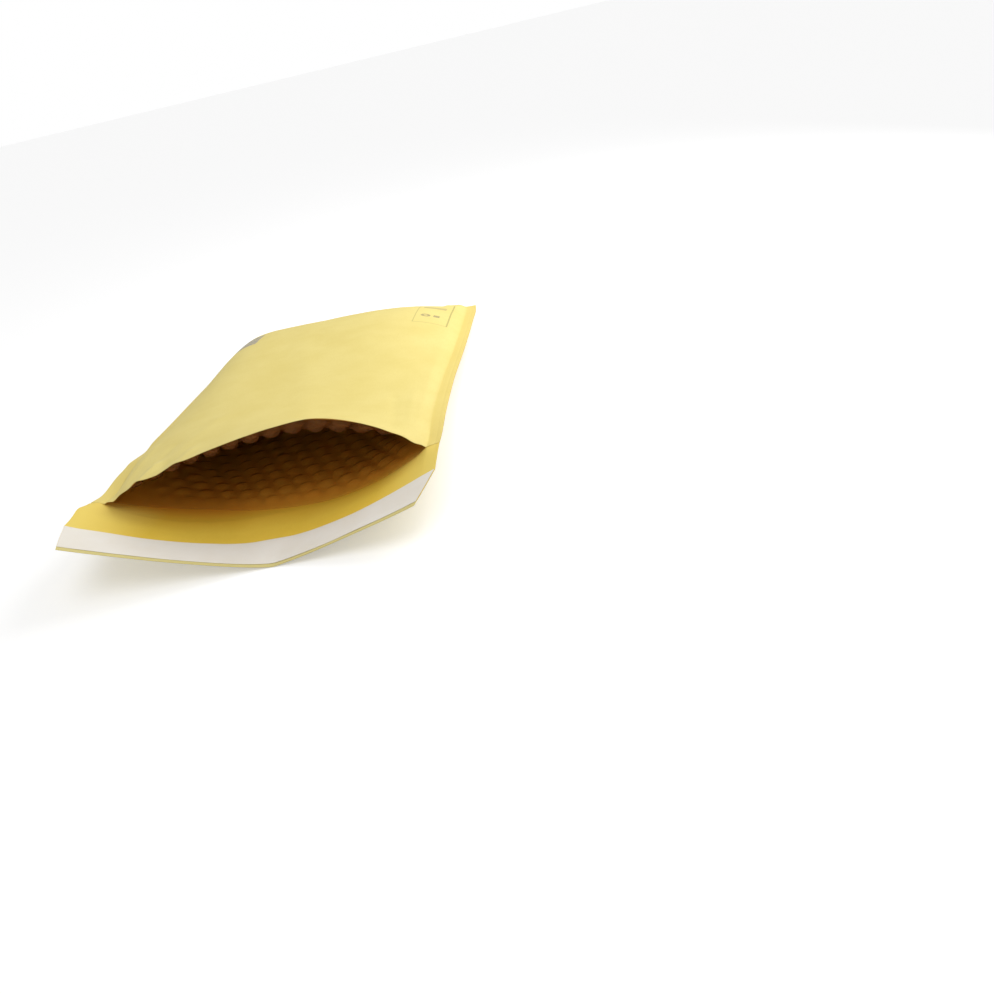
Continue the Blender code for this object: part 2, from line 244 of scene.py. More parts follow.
def seam_height(side, y):
    """Height of the seam's inner line, which stands above or below the sheet's outer edge."""
    left_to_fold = 1.0 - np.clip(y / POCKET_LENGTH, 0.0, 1.0)
    fall = SEAM_HEIGHT_AT_MOUTH - SEAM_HEIGHT_AT_FOLD
    lift = SEAM_WIDTH * (mouth_slope(side) * left_to_fold - body_band_slope(side, y))
    return SEAM_HEIGHT_AT_FOLD + fall * left_to_fold**SEAM_FALL_POWER + lift


def arch(share, y):
    crown = BODY_CROWN + (MOUTH_CROWN - BODY_CROWN) * np.exp(-y / MOUTH_FADE)
    power = BODY_ARCH_POWER + (MOUTH_ARCH_POWER - BODY_ARCH_POWER) * np.exp(-((y / POWER_FADE) ** 2))
    return 1.0 - np.abs(from_crown(share, crown)) ** power


def body_underside(share, y):
    flat = FLAT_SHARE_AT_MOUTH + (FLAT_SHARE_AT_BODY - FLAT_SHARE_AT_MOUTH) * smooth_step(y / FLAT_FADE)
    rise = np.clip((np.abs(share) - flat) / (1.0 - flat), 0.0, None) ** LOWER_POWER
    fold_line = SEAM_HEIGHT_AT_FOLD + (FOLD_HEIGHT - SEAM_HEIGHT_AT_FOLD) * arch(share, POCKET_LENGTH)
    to_fold = np.clip(1.0 - (POCKET_LENGTH - y) / FOLD_LIFT_LENGTH, 0.0, 1.0) ** 2
    return seam_height(share, y) * rise * (1.0 - to_fold) + fold_line * to_fold


def flap_underside(share, y):
    out = np.clip(-y / FLAP_LENGTH, 0.0, 1.0)
    side = from_crown(share, FLAP_TROUGH * out)
    end_height = np.where(side < 0.0, FLAP_LEFT_HEIGHT, FLAP_RIGHT_HEIGHT)
    end_power = np.where(side < 0.0, FLAP_LEFT_POWER, FLAP_RIGHT_POWER)
    height = SEAM_HEIGHT_AT_MOUTH + (end_height - SEAM_HEIGHT_AT_MOUTH) * out
    power = LOWER_POWER + (end_power - LOWER_POWER) * out
    flat = FLAT_SHARE_AT_MOUTH * (1.0 - out)
    return height * np.clip((np.abs(side) - flat) / (1.0 - flat), 0.0, None) ** power


def underside(share, y):
    body = body_underside(share, np.maximum(y, 0.0))
    return np.where(y >= 0.0, body, flap_underside(share, np.minimum(y, 0.0)))


def top_side(share, y):
    base = seam_height(share, y) + SOLID_SEAM_STACK
    crown = BODY_HEIGHT + (MOUTH_HEIGHT - BODY_HEIGHT) * np.exp(-y / MOUTH_FADE)
    fold_top = FOLD_HEIGHT + SOLID_SEAM_STACK
    crown = crown - (BODY_HEIGHT - fold_top) * (np.clip(y, 0.0, None) / POCKET_LENGTH) ** FOLD_DROP_POWER
    return base + (crown - base) * arch(share, y)


def chord_table():
    """Half the straight distance between the seams at many stations, from the sheet's own width."""
    y = np.linspace(-FLAP_LENGTH, POCKET_LENGTH, CHORD_STATIONS)
    share = np.linspace(-1.0, 1.0, CHORD_PLACES)
    rises = np.diff(underside(share[None, :], y[:, None]), axis=1)
    shortest = np.zeros_like(y)
    longest = np.full_like(y, HALF_POCKET)
    for _ in range(CHORD_HALVINGS):
        middle = (shortest + longest) / 2
        length = np.hypot(middle[:, None] * np.diff(share)[None, :], rises).sum(axis=1)
        shortest = np.where(length < 2 * HALF_POCKET, middle, shortest)
        longest = np.where(length < 2 * HALF_POCKET, longest, middle)
    return y, (shortest + longest) / 2


CHORD_Y, CHORD = chord_table()


def half_chord(y):
    return np.interp(y, CHORD_Y, CHORD)


def band_slope(side, y):
    """Slope of the edge band outside the seam's inner line."""
    probe = 0.02
    rise = underside(side, y) - underside(side * (1.0 - probe), y)
    flap_slope = rise / (probe * half_chord(y))
    out = np.clip(-y / FLAP_LENGTH, 0.0, 1.0)
    on_flap = mouth_slope(side) + (flap_slope - mouth_slope(side)) * out
    return np.where(y >= 0.0, body_band_slope(side, y), on_flap)


def groove(p):
    """Depth of the pressed line in the seam bands."""
    off = (np.abs(p) - (HALF_WIDTH - GROOVE_FROM_EDGE)) / GROOVE_WIDTH
    return GROOVE_DEPTH * np.exp(-off * off)


# Small dents and bulges of the glued edges: flat place, reach across and along, height, in millimetres
EDGE_BULGES = (
    ((-100, 70), (14, 9), -1.2),
    ((-100, 49), (12, 6), 0.6),
    ((-101, 15), (9, 14), -2.2),
    ((-95, 0), (5, 8), 2.2),
    ((-100, -12), (18, 6), 1.8),
    ((-100, -29), (14, 8), -1.0),
    ((93, 0), (4, 8), 0.9),
    ((88, 275), (4, 12), 0.7),
)

# The same on the upper sheet alone, where the lip meets the seams
LIP_BULGES = (
    ((-87, 0), (4, 9), -1.7),
    ((87, 0), (4.5, 9), -1.8),
)


def bulge_heights(p, y, bulges):
    total = np.zeros(np.broadcast(p, y).shape)
    for place, reach, height in bulges:
        across = (1000 * p - place[0]) / reach[0]
        along = (1000 * y - place[1]) / reach[1]
        total = total + height / 1000 * np.exp(-across * across - along * along)
    return total


def lower_face(p, y):
    """Place of the outer face of the lower sheet or the flap: x and height."""
    side = np.where(p < 0.0, -1.0, 1.0)
    inside = np.minimum(np.abs(p), HALF_POCKET)
    share = side * inside / HALF_POCKET
    slope = band_slope(side, y)
    reach = (np.abs(p) - inside) / np.hypot(1.0, slope)
    x = share * half_chord(y) + side * reach
    return x, underside(share, y) + slope * reach + bulge_heights(p, y, EDGE_BULGES)


def pocket_gap(p, y):
    """Height from the lower sheet's outer face to the upper sheet's outer face."""
    share = np.clip(p / HALF_POCKET, -1.0, 1.0)
    y = np.maximum(y, 0.0)
    gap = top_side(share, y) - underside(share, y)
    split = np.where(p < 0.0, LEFT_SPLIT, RIGHT_SPLIT) * np.exp(-((y / SPLIT_LENGTH) ** 2))
    near_seam = 1.0 - smooth_step((HALF_POCKET + split - np.abs(p)) / SEAM_EASE)
    near_fold = 1.0 - smooth_step((POCKET_LENGTH - y) / FOLD_EASE)
    shut = smooth_step((np.abs(p) - HALF_POCKET) / SHUT_WIDTH) * np.exp(-((y / SHUT_LENGTH) ** 2))
    stack = SEAM_STACK + (FOLD_STACK - SEAM_STACK) * near_fold * (1.0 - near_seam)
    stack = stack + (SHUT_STACK - SEAM_STACK) * shut
    return gap - (SOLID_SEAM_STACK - stack) * np.maximum(near_seam, near_fold)


def ear_pull(p, y):
    """How far the padded fold draws back between the flat corners."""
    share = np.clip(np.abs(p) / HALF_POCKET, 0.0, 1.0)
    padded = 1.0 - smooth_step((share - EAR_STEP) / EAR_STEP_WIDTH)
    return EAR_PULL * padded * smooth_step(1.0 - (POCKET_LENGTH - y) / EAR_REACH)


def ripple(p, y, size, seed):
    """Smooth random heights from about -1 to 1."""
    across, along = np.broadcast_arrays(p, y)
    places = zip(across.ravel() / size, along.ravel() / size)
    heights = [noise.noise(Vector((a, b, seed))) for a, b in places]
    return np.array(heights).reshape(across.shape)


def waves(p, y, kind, lift=0.0):
    """Smooth random heights of paper; a lift of 1 keeps them above the sheet."""
    height, size, seed = kind
    return height * (ripple(p, y, size, seed) + lift)


def envelope_face(p, y, turn):
    """Outer face of the folded sheet; turn runs from -90 degrees below to 90 degrees on top."""
    x, low = lower_face(p, y)
    gap = np.where(y >= 0.0, pocket_gap(p, y), 0.0)
    z = low + gap * (1.0 + np.sin(turn)) / 2
    out = y + FOLD_STACK / 2 * np.cos(turn) - ear_pull(p, y)
    return x, out, z


# Mesh building
def add_object(name, data):
    added = bpy.data.objects.new(name, data)
    bpy.context.scene.collection.objects.link(added)
    return added


def finish_mesh(mesh, flat, materials):
    """Gives a mesh its flat places as a UV map, its materials and smooth faces."""
    layer = mesh.uv_layers.new(name="flat")
    corners = np.zeros(len(mesh.loops), dtype=int)
    mesh.loops.foreach_get("vertex_index", corners)
    layer.data.foreach_set("uv", (flat / FLAT_UNIT)[corners].ravel())
    for material in materials:
        mesh.materials.append(material)
    mesh.shade_smooth()


def mesh_piece(name, points, faces, flat, materials):
    """A piece from its points, faces and flat places."""
    mesh = bpy.data.meshes.new(name)
    mesh.from_pydata([tuple(point) for point in points], [], faces)
    mesh.validate()
    finish_mesh(mesh, flat, materials)
    return add_object(name, mesh)


def grid_faces(rows, columns):
    """Quads of a grid whose points are numbered row by row."""
    faces = []
    for i in range(rows - 1):
        for j in range(columns - 1):
            a = i * columns + j
            faces.append((a, a + columns, a + columns + 1, a + 1))
    return faces


def thicken(piece, thickness, material_offset=0, even=True):
    """Gives a sheet its thickness on the side its normals point away from."""
    solid = piece.modifiers.new("thickness", "SOLIDIFY")
    solid.thickness = thickness
    solid.offset = -1.0
    solid.use_even_offset = even
    solid.material_offset = material_offset
    piece.modifiers.new("shading", "WEIGHTED_NORMAL")
    return piece


def sheet_columns():
    """Places across the sheet, close together in the seam bands."""
    right = [HALF_WIDTH - place for place in BAND_PLACES]
    middle = np.linspace(-HALF_POCKET, HALF_POCKET, 2 * round(HALF_POCKET / MIDDLE_STEP) + 1)
    return np.array([-place for place in right] + list(middle) + right[::-1])


def sheet_edge(y):
    """Distance of the sheet's cut edge from the middle, measured on the flat sheet."""
    into_cut = np.clip((-y - FLAP_STRAIGHT_SIDE) / (FLAP_LENGTH - FLAP_STRAIGHT_SIDE), 0.0, 1.0)
    return HALF_WIDTH - FLAP_CORNER_CUT * into_cut


def stations(start, end, step):
    """Evenly spaced stations without the last one."""
    return list(np.linspace(start, end, round(abs(end - start) / step), endpoint=False))


def kraft_sheet(materials):
    """The whole kraft sheet as one surface: flap, lower sheet, bottom fold and upper sheet."""
    under = stations(-FLAP_LENGTH, -FLAP_STRAIGHT_SIDE, FLAP_STEP)
    under += stations(-FLAP_STRAIGHT_SIDE, 0.0, FLAP_STEP) + stations(0.0, FOLD_START, LOWER_STEP)
    over = stations(FOLD_START, 0.0, UPPER_STEP) + [0.0]
    turns = list(np.linspace(-90.0, 90.0, FOLD_TURNS + 1)[:-1])
    y = np.array(under + [FOLD_START] * len(turns) + over)
    turn = np.radians([-90.0] * len(under) + turns + [90.0] * len(over))
    round_the_fold = FOLD_START + FOLD_STACK / 2 * np.radians(np.array(turns) + 90.0)
    on_top = [2 * FOLD_START + FOLD_HALF_ROUND - place for place in over]
    along = np.array(under + list(round_the_fold) + on_top) + FLAP_LENGTH
    columns = sheet_columns()[None, :]
    p = columns * (sheet_edge(y) / HALF_WIDTH)[:, None]
    p = np.where(y[:, None] < -FLAP_STRAIGHT_SIDE, p, columns)
    y = np.repeat(y[:, None], p.shape[1], axis=1)
    turn = np.repeat(turn[:, None], p.shape[1], axis=1)
    x, out, z = envelope_face(p, y, turn)
    upper = (1.0 + np.sin(turn)) / 2
    z = z - groove(p) * np.where(y >= 0.0, 2 * upper - 1.0, 0.0)
    z = z + sheet_relief(p, y, upper)
    points = np.stack([x, out + MOUTH_Y, z], axis=-1).reshape(-1, 3)
    flat = np.stack([p + HALF_WIDTH, along[:, None] + 0 * p], axis=-1).reshape(-1, 2)
    piece = mesh_piece("kraft_sheet", points, grid_faces(*p.shape), flat, materials)
    return thicken(piece, PAPER, material_offset=1)


# Soft creases of the upper sheet: start, end, half width, height, as flat places in millimetres
CREASES = (
    ((-70.5, -3), (-65, 15), 4.5, 2.1),
    ((-57, -3), (-55, 10), 4.0, -0.7),
    ((-45, -3), (-40, 14), 5.0, 1.0),
    ((-84, 8), (-80, 48), 3.0, 0.5),
    ((-72, 0), (-60, 36), 4.0, -0.5),
    ((-58, 0), (-40, 60), 6.0, 0.35),
    ((84, 0), (80, 70), 2.5, 0.35),
    ((76, 0), (70, 60), 3.0, -0.4),
    ((30, 5), (-30, 240), 9.0, 0.25),
)


def crease_heights(p, y):
    total = np.zeros_like(p)
    for start, end, width, height in CREASES:
        start, end = np.array(start) / 1000, np.array(end) / 1000
        run = end - start
        along = ((p - start[0]) * run[0] + (y - start[1]) * run[1]) / (run @ run)
        nearest = np.clip(along, 0.0, 1.0)
        away = np.hypot(p - start[0] - nearest * run[0], y - start[1] - nearest * run[1]) / (width / 1000)
        total += height / 1000 * np.exp(-away * away)
    return total


def sheet_relief(p, y, upper):
    """Small heights of creased paper, on the upper sheet and the flap alone."""
    to_seam = HALF_POCKET - np.abs(p)
    inside = smooth_step(to_seam / RELIEF_EASE)
    lip = smooth_step(to_seam / LIP_EASE) * bulge_heights(p, y, LIP_BULGES)
    broad = waves(p, y, BROAD_WAVES) + waves(p, y, FINE_WAVES)
    on_top = upper * (inside * (crease_heights(p, y) + broad) + lip)
    on_flap = np.where(y < 0.0, waves(p, y, FLAP_WAVES, lift=1.0), 0.0)
    return on_top + on_flap


def film_cells():
    """One flat sheet of bubble film: points with their height over the film, and the faces."""
    row_pitch = BUBBLE_PITCH * math.sqrt(3.0) / 2
    angles = np.radians(np.arange(BUBBLE_SIDES) * 360.0 / BUBBLE_SIDES)
    to_side = BUBBLE_PITCH / 2
    to_corner = BUBBLE_PITCH / math.sqrt(3.0)
    edge_radius = np.where(np.arange(BUBBLE_SIDES) % 2 == 0, to_side, to_corner)
    rows = int(2 * FILM_REACH / row_pitch) + 2
    columns = int(HALF_POCKET / BUBBLE_PITCH) + 2
    points, faces, edge_numbers = [], [], {}
    for row in range(-1, rows):
        for column in range(-columns, columns + 1):
            centre = ((column + row % 2 / 2) * BUBBLE_PITCH, row * row_pitch)
            if abs(centre[0]) > HALF_POCKET + BUBBLE_PITCH:
                continue
            edge = []
            for angle, radius in zip(angles, edge_radius):
                place = (centre[0] + radius * math.cos(angle), centre[1] + radius * math.sin(angle))
                key = (round(place[0] * KEYS_PER_METRE), round(place[1] * KEYS_PER_METRE))
                if key not in edge_numbers:
                    edge_numbers[key] = len(points)
                    points.append((*place, 0.0))
                edge.append(edge_numbers[key])
            rings = [edge]
            for radius, height in BUBBLE_PROFILE:
                first = len(points)
                for angle in angles:
                    x = centre[0] + radius * math.cos(angle)
                    y = centre[1] + radius * math.sin(angle)
                    points.append((x, y, height))
                rings.append(list(range(first, first + BUBBLE_SIDES)))
            tip = len(points)
            points.append((*centre, BUBBLE_HEIGHT))
            for outer, inner in zip(rings, rings[1:]):
                for i in range(BUBBLE_SIDES):
                    j = (i + 1) % BUBBLE_SIDES
                    faces.append((outer[i], outer[j], inner[j], inner[i]))
            for i in range(BUBBLE_SIDES):
                faces.append((rings[-1][i], rings[-1][(i + 1) % BUBBLE_SIDES], tip))
    return points, faces


def cut_flat(bm, place, normal, keep=True):
    """Cuts the flat film along a line, and drops what lies beyond it unless keep is set."""
    geometry = bm.verts[:] + bm.edges[:] + bm.faces[:]
    bmesh.ops.bisect_plane(bm, geom=geometry, plane_co=place, plane_no=normal, clear_outer=not keep)


def bubble_film(material):
    """The film laid into the pocket: lower ply, turn at the bottom, upper ply, bubbles inwards."""
    points, faces = film_cells()
    mesh = bpy.data.meshes.new("film_cells")
    mesh.from_pydata(points, [], faces)
    bm = bmesh.new()
    bm.from_mesh(mesh)
    bpy.data.meshes.remove(mesh)
    bmesh.ops.remove_doubles(bm, verts=bm.verts, dist=JOIN_WITHIN)
    side = HALF_POCKET - FILM_SIDE_GAP
    cut_flat(bm, (side, 0, 0), (1, 0, 0), keep=False)
    cut_flat(bm, (-side, 0, 0), (-1, 0, 0), keep=False)
    cut_flat(bm, (0, 0, 0), (0, -1, 0), keep=False)
    cut_flat(bm, (0, 2 * FILM_REACH, 0), (0, 1, 0), keep=False)
    for cut in TURN_CUTS:
        cut_flat(bm, (0, FILM_REACH + cut * TURN_HALF, 0), (0, 1, 0))
    bmesh.ops.remove_doubles(bm, verts=bm.verts, dist=JOIN_WITHIN)
    bmesh.ops.dissolve_degenerate(bm, edges=bm.edges, dist=JOIN_WITHIN / 2)
    flat = np.array([vertex.co for vertex in bm.verts])
    for vertex, place in zip(bm.verts, film_places(flat)):
        vertex.co = place
    bmesh.ops.recalc_face_normals(bm, faces=bm.faces)
    mesh = bpy.data.meshes.new("bubble_film")
    bm.to_mesh(mesh)
    bm.free()
    finish_mesh(mesh, flat[:, :2] + (HALF_WIDTH, 0.0), [material])
    return thicken(add_object("bubble_film", mesh), FILM, even=False)


def film_front(p, on_top):
    """Distance of the film's front edge from the mouth line."""
    drawn = (p - FILM_DRAWN_AT) / np.where(p < FILM_DRAWN_AT, FILM_DRAWN_LEFT, FILM_DRAWN_RIGHT)
    to_right = smooth_step((p - FILM_RIGHT_FROM) / FILM_RIGHT_EASE)
    front = FILM_SETBACK + (FILM_RIGHT_SETBACK - FILM_SETBACK) * to_right
    return front + np.where(on_top, 0.0, FILM_DRAWN_BACK * np.exp(-drawn * drawn))


def film_places(flat):
    """Places in the pocket for points of the flat film."""
    p, v, height = flat[:, 0], flat[:, 1], flat[:, 2]
    on_top = v >= FILM_REACH
    front = film_front(p, on_top)
    y = np.where(on_top, 2 * FILM_REACH - v, v)
    drawn_y = front + y * (FILM_DRAWN_DEPTH - front) / FILM_DRAWN_DEPTH
    y = np.where(y < FILM_DRAWN_DEPTH, drawn_y, y)
    y = np.minimum(y, FILM_REACH - TURN_HALF)
    turn = np.clip((v - FILM_REACH) / TURN_HALF, -1.0, 1.0) * math.pi / 2
    upper = turn > 0
    outwards = np.where(upper, 1.0, -1.0)
    x, low = lower_face(p, y)
    gap = pocket_gap(p, y)
    layers = PAPER + FILM_CLEARANCE
    half = np.maximum(gap / 2 - layers, LEAST_TURN)
    rounded = np.sin(turn) * (1.0 - TURN_ROUNDING * np.cos(turn))

    # The bubbles are squeezed where the pocket is thin, and flat at the film's edges and its turn
    room = gap - 2 * (layers + FILM)
    squeeze = np.clip((room - ROOM_LEFT) / (ROOM_PER_BUBBLE * BUBBLE_HEIGHT), LEAST_BUBBLE, 1.0)
    free = smooth_step((HALF_POCKET - np.abs(p)) / FILM_SIDE_EASE)
    full = smooth_step((y - front) / np.where(on_top, UPPER_SEALED_EDGE, FILM_SEALED_EDGE))
    full = full * free * smooth_step((FILM_REACH - TURN_HALF - y) / FILM_FOLD_EASE)
    rise = height * squeeze * full * np.where(on_top, UPPER_BUBBLES, 1.0)

    # Behind the lip the upper film hangs down
    sag = FILM_SAG * smooth_step((y - SAG_FROM) / (SAG_DEEPEST - SAG_FROM))
    sag = sag * free * smooth_step((SAG_END - y) / (SAG_END - SAG_DEEPEST))
    sag = np.where(on_top, sag, 0.0)
    relief = np.where(upper, sheet_relief(p, y, np.where(upper, 1.0, 0.0)), 0.0)
    slope_x, slope_y = face_slopes(p, y, upper)
    steep = np.sqrt(1.0 + slope_x**2 + slope_y**2)
    z = low + gap / 2 + half * rounded - np.sin(turn) * rise / steep
    z = z + relief - sag
    x = x + outwards * slope_x * rise / steep
    out = y + half * np.cos(turn) * TURN_BULGE + outwards * slope_y * rise / steep - ear_pull(p, y)
    return np.stack([x, out + MOUTH_Y, z], axis=-1)


def face_slopes(p, y, upper):
    """Slopes of the lower or the upper sheet's face across and along."""
    def face(a, b):
        x, low = lower_face(a, b)
        return x, low + np.where(upper, pocket_gap(a, b), 0.0)

    right_x, right_z = face(p + SLOPE_STEP, y)
    left_x, left_z = face(p - SLOPE_STEP, y)
    _, far_z = face(p, np.minimum(y + SLOPE_STEP, POCKET_LENGTH))
    _, near_z = face(p, np.maximum(y - SLOPE_STEP, 0.0))
    across = (right_z - left_z) / np.maximum(right_x - left_x, LEAST_RUN)
    return across, (far_z - near_z) / (2 * SLOPE_STEP)


def flap_strip(name, width, thickness, lift, side_inset, material, kind):
    """A thin strip that lies along the flap; lift is its height over the paper, kind its waves."""
    middle = -(FLAP_STRAIGHT_SIDE + LINER_WIDTH / 2)
    rows = np.linspace(middle + width / 2, middle - width / 2, STRIP_ROWS)
    columns = sheet_columns() / HALF_WIDTH
    p = columns[None, :] * (sheet_edge(rows) - side_inset)[:, None]
    y = np.repeat(rows[:, None], p.shape[1], axis=1)
    x, low = lower_face(p, y)
    edge = smooth_step((width / 2 - np.abs(y - middle)) / STRIP_EDGE)
    z = low + sheet_relief(p, y, 0.0 * p) + PAPER + BAND_GAP + (lift - BAND_GAP) * edge + thickness
    z = z + waves(p, y, kind, lift=1.0)
    points = np.stack([x, y + MOUTH_Y, z], axis=-1).reshape(-1, 3)
    flat = np.stack([p + HALF_WIDTH, y + FLAP_LENGTH], axis=-1).reshape(-1, 2)
    return thicken(mesh_piece(name, points, grid_faces(*p.shape), flat, [material]), thickness)


# Colours
KRAFT_PALE = (0.84, 0.70, 0.235, 1.0)
KRAFT_DEEP = (0.80, 0.655, 0.20, 1.0)
KRAFT_FLECK = (0.74, 0.58, 0.17, 1.0)
INNER_PALE = (0.86, 0.59, 0.060, 1.0)
INNER_DEEP = (0.82, 0.55, 0.048, 1.0)
INNER_FLECK = (0.74, 0.48, 0.040, 1.0)
# Painted shade: the flap's inner face darker just in front of the mouth, where the lip's shadow falls
PAINTED_LIP_SHADE = (0.64, 0.345, 0.012, 1.0)
# Inside the pocket: a deeper orange as painted shade, and a brighter orange towards the sides as a
# painted glow of light through the paper
POCKET_PAINTED_GLOW = (0.98, 0.50, 0.020, 1.0)
POCKET_PAINTED_SHADE = (0.68, 0.27, 0.010, 1.0)
KRAFT_BAND = (0.82, 0.63, 0.155, 1.0)
FILM_LOWER = (0.88, 0.42, 0.05, 1.0)
# Painted shade: the upper ply of film darker than the lower ply
UPPER_PLY_PAINTED_SHADE = (0.34, 0.15, 0.06, 1.0)
# Painted light: the inner face paler towards the sides
SIDES_PAINTED_PALER = (0.88, 0.68, 0.15, 1.0)
KRAFT_BORDER = (0.71, 0.61, 0.24, 1.0)
LINE_INK = (0.42, 0.36, 0.10, 1.0)
MARK_INK = (0.20, 0.15, 0.11, 1.0)
PATCH_INK = (0.23, 0.25, 0.36, 1.0)
LINER_DEEP = (0.89, 0.835, 0.73, 1.0)
LINER_PALE = (0.92, 0.875, 0.79, 1.0)
ADHESIVE_DEEP = (0.72, 0.62, 0.38, 1.0)
ADHESIVE_PALE = (0.80, 0.72, 0.50, 1.0)
FLOOR_COLOUR = (0.80, 0.80, 0.80, 1.0)
WHITE = (1.0, 1.0, 1.0, 1.0)

# Surfaces: scales of clouds and grain are per millimetre, depths of bump are in metres
NOISE_ROUGHNESS = 0.6
CLOUD_SCALE = 0.03
CLOUD_RANGE = (0.35, 0.65)
FIBRE_SCALE = 1.0
FIBRE_STRETCH = (1.6, 0.22)
FIBRE_RANGE = (0.45, 0.8)
FIBRE_SHARE = 0.35
GRAIN_SCALE = 1.8
GRAIN_DEPTH = 0.00003
FIBRE_DEPTH = 0.00004
LINER_CLOUD_SCALE = 0.05
LINER_GRAIN_SCALE = 1.2
ADHESIVE_SCALE = 0.4
ADHESIVE_DEPTH = 0.0002
WRINKLE_SCALE = 0.35
WRINKLE_DEPTH = 0.0004

# Where one colour passes into another: from, to, in millimetres, and the share reached
SEAM_BAND = (90.5, 93.5, 0.5)
# Painted shade just in front of the mouth, counted from the mouth line
LIP_SHADE_PASSAGE = (-16.0, 2.0, 0.8)
# Painted light: how far from the middle the inner face turns paler towards the sides
PALER_SIDES_PASSAGE = (62.0, 96.0, 0.85)
# The pocket's painted glow towards its sides, and where the pocket's painted shade and glow begin behind
# the mouth
GLOW_TOWARDS_SIDES = (70.0, 90.0, 0.9)
POCKET_LIGHT_FROM_MOUTH = (1.0, 10.0, 0.9)
BORDER = (5.0, 3.0, 1.0)
# Where the upper ply's painted shade begins, around the film's turn at the bottom
UPPER_SHADE_FROM_TURN = (-5.0, 5.0, 1.0)

# Print on the upper sheet: across from and to, from the lip from and to, in millimetres, and strength
FRAME_LINES = (
    (84.0, 85.0, 199, 262, 0.75),
    (61.0, 61.7, 199, 262, 0.5),
    (61.7, 84.0, 199, 200.2, 0.35),
)
FRAME_MARKS = (
    (74, 78.2, 215.8, 220.6, 0.6),
    (64.5, 80.5, 240, 247, 0.35),
    (-10, 24, 243, 246, 0.3),
)
RING_PLACE = (68.5, 218)
RING_RADIUS = 2.4
RING_HALF_WIDTH = 1.0
RING_STRENGTH = 0.6
PATCH_PLACE = (-76, -58, 206, 232)
PATCH_STRENGTH = 0.85
SQUARE_PITCH = 1.6
SQUARE_HALF_SHARE = 0.42


# Materials
class Nodes:
    """Short calls for a material's nodes; flat() gives the flat place on the sheet in millimetres."""

    def __init__(self, name):
        self.material = bpy.data.materials.new(name)
        self.material.use_nodes = True
        self.tree = self.material.node_tree
        self.shader = self.tree.nodes["Principled BSDF"]

    def new(self, kind, **values):
        node = self.tree.nodes.new(kind)
        for key, value in values.items():
            setattr(node, key, value)
        return node

    def put(self, socket, value):
        if isinstance(value, bpy.types.NodeSocket):
            self.tree.links.new(value, socket)
        else:
            socket.default_value = value

    def maths(self, operation, *values):
        node = self.new("ShaderNodeMath", operation=operation)
        for socket, value in zip(node.inputs, values):
            self.put(socket, value)
        return node.outputs[0]

    def flat(self):
        place = self.new("ShaderNodeUVMap", uv_map="flat")
        scaled = self.new("ShaderNodeVectorMath", operation="SCALE")
        self.put(scaled.inputs[0], place.outputs[0])
        scaled.inputs["Scale"].default_value = FLAT_UNIT * 1000
        return scaled.outputs[0]

    def stretched(self, place, across, along):
        node = self.new("ShaderNodeVectorMath", operation="MULTIPLY")
        self.put(node.inputs[0], place)
        node.inputs[1].default_value = (across, along, 1.0)
        return node.outputs[0]

    def noise(self, place, scale, detail=3.0):
        node = self.new("ShaderNodeTexNoise")
        self.put(node.inputs["Vector"], place)
        node.inputs["Scale"].default_value = scale
        node.inputs["Detail"].default_value = detail
        node.inputs["Roughness"].default_value = NOISE_ROUGHNESS
        return node.outputs[0]

    def mix(self, share, first, second):
        node = self.new("ShaderNodeMix", data_type="RGBA")
        self.put(node.inputs[0], share)
        self.put(node.inputs[6], first)
        self.put(node.inputs[7], second)
        return node.outputs[2]

    def spread(self, value, low, high, share=1.0):
        """Rises from 0 at the low value to the share at the high one."""
        node = self.new("ShaderNodeMapRange")
        for socket, number in zip(node.inputs, (value, low, high, 0.0, share)):
            self.put(socket, number)
        return node.outputs[0]

    def bump(self, height, distance, before=None):
        node = self.new("ShaderNodeBump")
        node.inputs["Strength"].default_value = 1.0
        node.inputs["Distance"].default_value = distance
        self.put(node.inputs["Height"], height)
        if before is not None:
            self.put(node.inputs["Normal"], before)
        return node.outputs[0]

    def split(self, place):
        node = self.new("ShaderNodeSeparateXYZ")
        self.put(node.inputs[0], place)
        return node.outputs[0], node.outputs[1]

    def box(self, across, along, low, high):
        """1 inside a rectangle of the flat sheet."""
        in_x = self.maths("COMPARE", across, (low[0] + high[0]) / 2, (high[0] - low[0]) / 2)
        in_y = self.maths("COMPARE", along, (low[1] + high[1]) / 2, (high[1] - low[1]) / 2)
        return self.maths("MULTIPLY", in_x, in_y)

    def from_middle(self, across):
        """Distance from the sheet's middle line in millimetres."""
        return self.maths("ABSOLUTE", self.maths("SUBTRACT", across, 1000 * HALF_WIDTH))

    def sum_up(self, shapes):
        """Adds shapes, each given with its strength."""
        total = 0.0
        for shape, strength in shapes:
            total = self.maths("ADD", total, self.maths("MULTIPLY", shape, strength))
        return total

    def surface(self, colour, normal, roughness):
        self.put(self.shader.inputs["Base Color"], colour)
        self.put(self.shader.inputs["Normal"], normal)
        self.shader.inputs["Roughness"].default_value = roughness
        return self.material


def paper_ground(nodes, place, pale, deep, fleck):
    """Colour of kraft paper: soft clouds, long fibres and small flecks."""
    clouds = nodes.spread(nodes.noise(place, CLOUD_SCALE, detail=4.0), *CLOUD_RANGE)
    colour = nodes.mix(clouds, pale, deep)
    fibres = nodes.noise(nodes.stretched(place, *FIBRE_STRETCH), FIBRE_SCALE, detail=4.0)
    share = nodes.maths("MULTIPLY", nodes.spread(fibres, *FIBRE_RANGE), FIBRE_SHARE)
    return nodes.mix(share, colour, fleck), fibres


